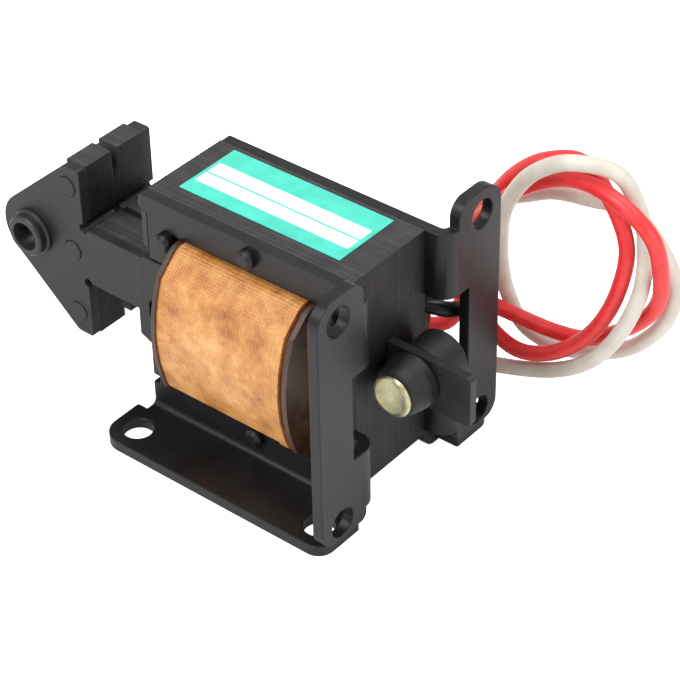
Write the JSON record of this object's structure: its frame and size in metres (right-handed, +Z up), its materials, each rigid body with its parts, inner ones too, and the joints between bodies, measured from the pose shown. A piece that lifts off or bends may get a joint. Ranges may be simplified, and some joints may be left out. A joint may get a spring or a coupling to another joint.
{
  "type": "push pull solenoid",
  "caption": "Laminated push pull solenoid with a taped coil in a two-plate mounting bracket, a riveted plunger with a clevis eye, a guided tail blade with rubber bumpers, and two leads.",
  "frame": {"origin": "centre of the four foot holes, on the underside of the feet", "axes": "+X along the plunger from the eye to the tail, the way it is pulled in; +Z up from the feet; +Y towards the side the leads leave"},
  "size_m": [0.109, 0.0682, 0.0524],
  "materials": {
    "lamination": "black varnished lamination steel",
    "bracket": "glossy black enamel on pressed steel",
    "ring": "black varnish over copper",
    "phenolic": "dark brown phenolic paper board",
    "winding": "varnished wrap",
    "tape": "amber woven tape with varnish",
    "label": "turquoise and white printed paper label, left bare",
    "lead_red": "red lead covering",
    "lead_white": "cream lead covering",
    "plunger_steel": "stamped steel, lightly oiled",
    "blade_steel": "stamped steel",
    "bush_steel": "turned steel",
    "zinc": "yellow zinc plate on steel",
    "bumper": "black rubber"
  },
  "bodies": {
    "frame": {"yoke_core": "lamination", "fixed_core": "lamination", "side_plate_front": "bracket", "side_plate_rear": "bracket", "frame_rivets": "bracket", "shading_ring_upper": "ring", "shading_ring_lower": "ring", "bobbin": "phenolic", "coil_winding": "winding", "coil_tape": "tape", "label": "label", "lead_red": "lead_red", "lead_white": "lead_white"},
    "plunger": {"plunger_core_front": "plunger_steel", "plunger_core_rear": "plunger_steel", "plunger_blade": "blade_steel", "plunger_plate_front": "plunger_steel", "plunger_plate_rear": "plunger_steel", "eye_bush_front": "bush_steel", "eye_bush_rear": "bush_steel", "plunger_rivets": "blade_steel", "bumper_pin": "zinc", "bumper_front": "bumper", "bumper_rear": "bumper"}
  },
  "joints": [
    {"name": "plunger_slide", "type": "slide", "parent": "frame", "child": "plunger", "axis": [1, 0, 0], "range_m": [0, 0.0162]}
  ]
}
